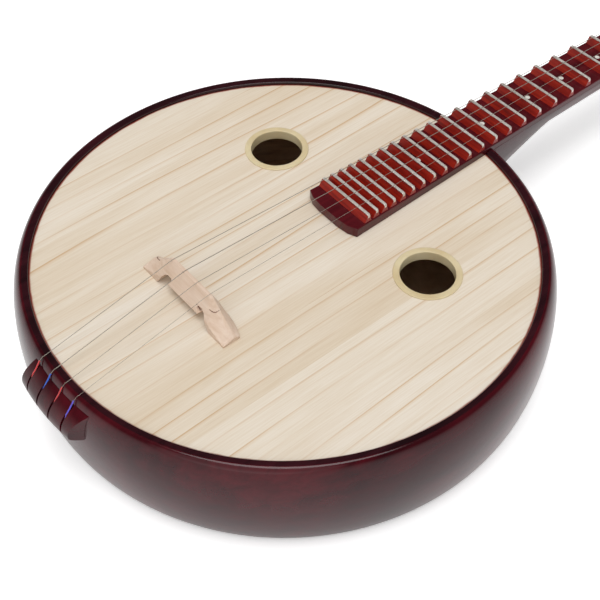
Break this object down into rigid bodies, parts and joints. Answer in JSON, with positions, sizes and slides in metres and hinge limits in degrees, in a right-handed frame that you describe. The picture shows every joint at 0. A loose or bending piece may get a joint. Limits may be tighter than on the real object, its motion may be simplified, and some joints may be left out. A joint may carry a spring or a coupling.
{
  "type": "zhongruan",
  "caption": "Round-bodied fretted lute lying on its flat back: pale soundboard, ringed sound holes, tall wooden frets, floating bridge and geared side tuning keys.",
  "frame": {"origin": "centre of the flat back, at its underside", "axes": "+X along the neck to the head, +Z out of the soundboard's face, +Y across the body"},
  "size_m": [0.9945, 0.461, 0.129],
  "materials": {
    "lacquer": "gloss lacquer",
    "paulownia": "bare, satin",
    "ivory": "polished",
    "inner_wood": "bare",
    "spruce": "bare",
    "fretboard_wood": "gloss lacquer",
    "fret_wood": "gloss lacquer",
    "bone": "polished bone",
    "maple": "bare, satin",
    "peg_wood": "polished",
    "steel": "plated"
  },
  "bodies": {
    "instrument": {"side_shell": "lacquer", "back_board": "lacquer", "rim_binding": "lacquer", "soundboard": "paulownia", "sound_hole_ring_left": "ivory", "sound_hole_ring_right": "ivory", "upper_soundboard_brace": "inner_wood", "lower_soundboard_brace": "inner_wood", "back_brace": "inner_wood", "sound_post": "spruce", "neck_block": "inner_wood", "tail_block": "inner_wood", "neck_and_pegbox": "lacquer", "fretboard": "fretboard_wood", "nut": "bone", "bridge": "maple", "tailpiece": "lacquer", "head_ornament": "lacquer", "fret_01": "fret_wood", "fret_02": "fret_wood", "fret_03": "fret_wood", "fret_04": "fret_wood", "fret_05": "fret_wood", "fret_06": "fret_wood", "fret_07": "fret_wood", "fret_08": "fret_wood", "fret_09": "fret_wood", "fret_10": "fret_wood", "fret_11": "fret_wood", "fret_12": "fret_wood", "fret_13": "fret_wood", "fret_14": "fret_wood", "fret_15": "fret_wood", "fret_16": "fret_wood", "fret_17": "fret_wood", "fret_18": "fret_wood", "fret_19": "fret_wood", "fret_20": "fret_wood", "fret_21": "fret_wood", "fret_22": "fret_wood", "fret_23": "fret_wood", "fret_24": "fret_wood", "string_1": "steel", "string_2": "steel", "string_3": "steel", "string_4": "steel"},
    "key_1": {"tuning_key_1": "peg_wood"},
    "post_1": {"string_post_1": "steel"},
    "key_2": {"tuning_key_2": "peg_wood"},
    "post_2": {"string_post_2": "steel"},
    "key_3": {"tuning_key_3": "peg_wood"},
    "post_3": {"string_post_3": "steel"},
    "key_4": {"tuning_key_4": "peg_wood"},
    "post_4": {"string_post_4": "steel"}
  },
  "joints": [
    {"name": "key_1_turn", "type": "hinge", "parent": "instrument", "child": "key_1", "pos_m": [0.57708, 0.0255, 0.07844], "axis": [0, 1, 0], "continuous": true},
    {"name": "post_1_turn", "type": "hinge", "parent": "instrument", "child": "post_1", "pos_m": [0.57023, 0.0075, 0.07989], "axis": [0.2079, 0, 0.9781], "continuous": true},
    {"name": "key_2_turn", "type": "hinge", "parent": "instrument", "child": "key_2", "pos_m": [0.63088, 0.0255, 0.067], "axis": [0, 1, 0], "continuous": true},
    {"name": "post_2_turn", "type": "hinge", "parent": "instrument", "child": "post_2", "pos_m": [0.62403, 0.004, 0.06846], "axis": [0.2079, 0, 0.9781], "continuous": true},
    {"name": "key_3_turn", "type": "hinge", "parent": "instrument", "child": "key_3", "pos_m": [0.65533, -0.0255, 0.06181], "axis": [0, -1, 0], "continuous": true},
    {"name": "post_3_turn", "type": "hinge", "parent": "instrument", "child": "post_3", "pos_m": [0.64848, -0.004, 0.06326], "axis": [0.2079, 0, 0.9781], "continuous": true},
    {"name": "key_4_turn", "type": "hinge", "parent": "instrument", "child": "key_4", "pos_m": [0.60153, -0.0255, 0.07324], "axis": [0, -1, 0], "continuous": true},
    {"name": "post_4_turn", "type": "hinge", "parent": "instrument", "child": "post_4", "pos_m": [0.59469, -0.0075, 0.0747], "axis": [0.2079, 0, 0.9781], "continuous": true}
  ],
  "couplings": [
    {"joint": "post_1_turn", "follows": "key_1_turn", "ratio": 0.071429},
    {"joint": "post_2_turn", "follows": "key_2_turn", "ratio": 0.071429},
    {"joint": "post_3_turn", "follows": "key_3_turn", "ratio": -0.071429},
    {"joint": "post_4_turn", "follows": "key_4_turn", "ratio": -0.071429}
  ]
}
